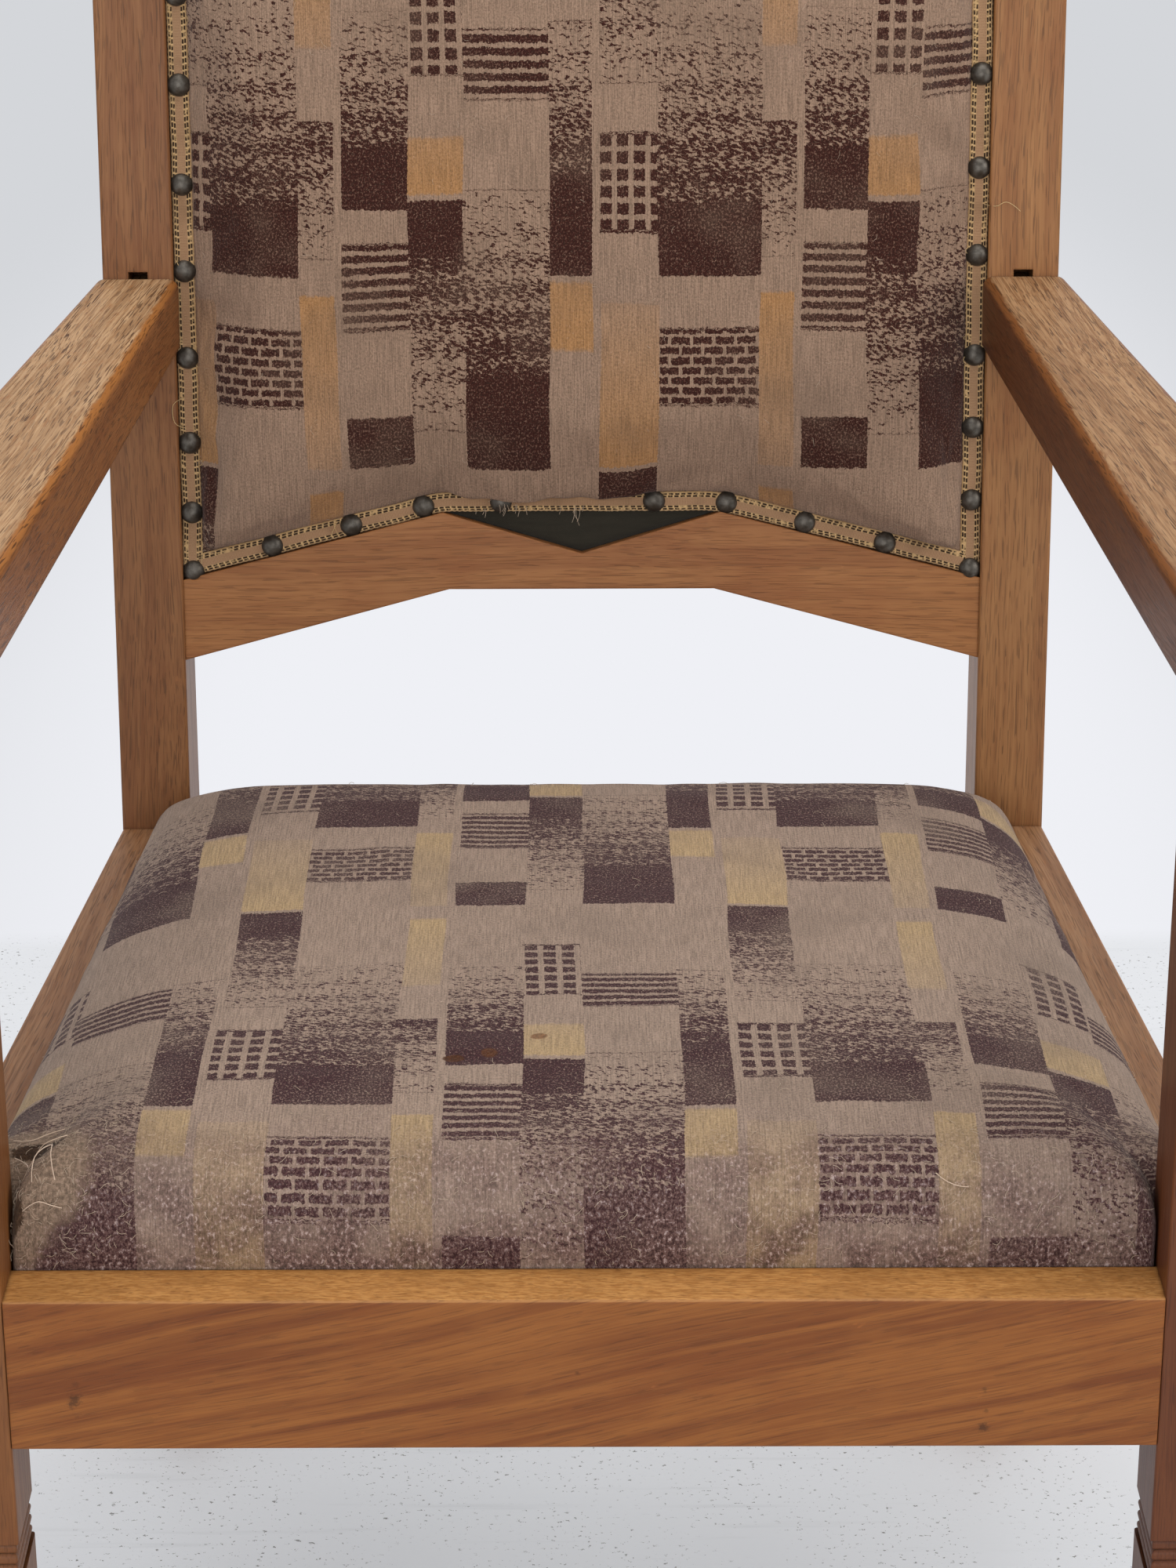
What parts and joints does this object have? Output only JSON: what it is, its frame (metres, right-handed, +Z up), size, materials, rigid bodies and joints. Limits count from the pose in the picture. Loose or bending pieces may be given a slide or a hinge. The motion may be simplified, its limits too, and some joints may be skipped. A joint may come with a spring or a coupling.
{
  "type": "armchair",
  "caption": "Oak armchair with open arms, an upholstered back held by gimp and domed nails, and a lift-out upholstered seat.",
  "frame": {"origin": "on the floor, at the centre of the chair's width and of its depth from the noses of the arms to the back of the posts' tops", "axes": "+Z up, -Y towards the front of the chair, +X to the right of a person who faces the chair"},
  "size_m": [0.6418, 0.6396, 0.9847],
  "materials": {
    "oak": "satin oiled oak",
    "beech": "plain beech",
    "steel_screws": "plain steel",
    "webbing": "jute webbing",
    "hessian": "jute hessian",
    "hair": "curled hair and wadding",
    "nail_bronze": "antique bronze, satin",
    "dark_cloth": "dark plain cloth",
    "moquette": "worn cut pile",
    "gimp": "woven braid",
    "tack_steel": "blued steel"
  },
  "bodies": {
    "chair_frame": {"back_post_right": "oak", "back_post_left": "oak", "front_leg_right": "oak", "front_leg_left": "oak", "side_rail_right": "oak", "side_rail_left": "oak", "arm_right": "oak", "arm_left": "oak", "front_rail": "oak", "back_seat_rail": "oak", "lower_back_rail": "oak", "top_back_rail": "oak", "corner_block_front_right": "beech", "corner_block_front_left": "beech", "corner_block_back_right": "beech", "corner_block_back_left": "beech", "back_frame_right": "beech", "back_frame_left": "beech", "back_frame_bottom": "beech", "back_frame_top": "beech", "corner_block_screws": "steel_screws", "back_frame_screws": "steel_screws", "back_webbing_upright": "webbing", "back_webbing_cross": "webbing", "back_hessian": "hessian", "back_stuffing": "hair", "back_nails": "nail_bronze", "back_lining": "dark_cloth", "outside_back_cloth": "dark_cloth", "back_cover": "moquette", "gimp_bottom": "gimp", "gimp_right": "gimp", "gimp_top": "gimp", "gimp_left": "gimp", "outside_cloth_tacks": "tack_steel"},
    "drop_in_seat": {"seat_frame_front": "beech", "seat_frame_back": "beech", "seat_frame_right": "beech", "seat_frame_left": "beech", "seat_webbing_long": "webbing", "seat_webbing_cross": "webbing", "seat_hessian": "hessian", "seat_stuffing": "hair", "seat_cover": "moquette", "seat_dust_cloth": "dark_cloth", "seat_tacks": "tack_steel"}
  },
  "joints": [
    {"name": "seat_lift_out", "type": "slide", "parent": "chair_frame", "child": "drop_in_seat", "axis": [0, 0, 1], "range_m": [0, 0.08]}
  ]
}
